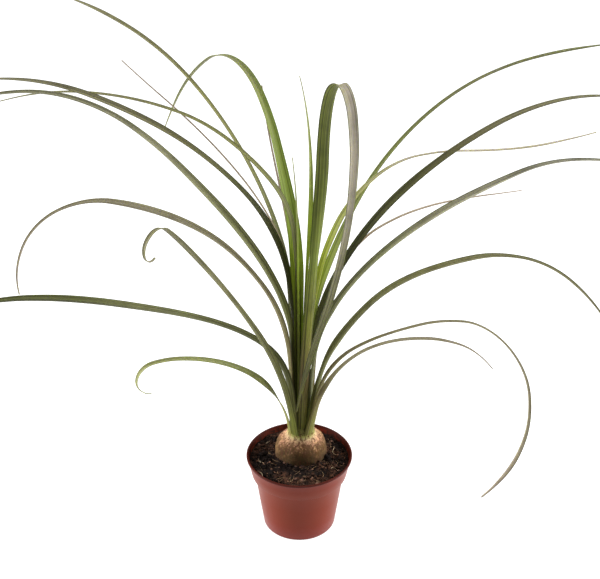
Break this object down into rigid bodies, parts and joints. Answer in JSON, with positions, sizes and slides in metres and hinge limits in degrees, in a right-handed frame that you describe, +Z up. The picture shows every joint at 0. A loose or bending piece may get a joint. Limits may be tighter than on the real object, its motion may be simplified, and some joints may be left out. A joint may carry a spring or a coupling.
{
  "type": "potted ponytail palm",
  "caption": "Young ponytail palm with a swollen caudex and long arching strap leaves, growing in a round tapered nursery pot.",
  "frame": {"origin": "centre of the pot's flat underside, on the surface that it stands on", "axes": "+Z up; +X to the right in the picture, along the widest spread of the leaves; +Y away from the viewer"},
  "size_m": [0.7141, 0.6282, 0.5642],
  "materials": {
    "pot": "satin",
    "soil": "rough crumbly peat",
    "caudex": "matt, thin corky bark",
    "leaf": "satin, finely veined along its length"
  },
  "bodies": {
    "root": {"pot": "pot", "soil": "soil", "caudex": "caudex", "leaf_01": "leaf", "leaf_02": "leaf", "leaf_03": "leaf", "leaf_04": "leaf", "leaf_05": "leaf", "leaf_06": "leaf", "leaf_07": "leaf", "leaf_08": "leaf", "leaf_09": "leaf", "leaf_10": "leaf", "leaf_11": "leaf", "leaf_12": "leaf", "leaf_13": "leaf", "leaf_14": "leaf", "leaf_15": "leaf", "leaf_16": "leaf", "leaf_17": "leaf", "leaf_18": "leaf", "leaf_19": "leaf", "leaf_20": "leaf", "leaf_21": "leaf", "leaf_22": "leaf"}
  },
  "joints": []
}
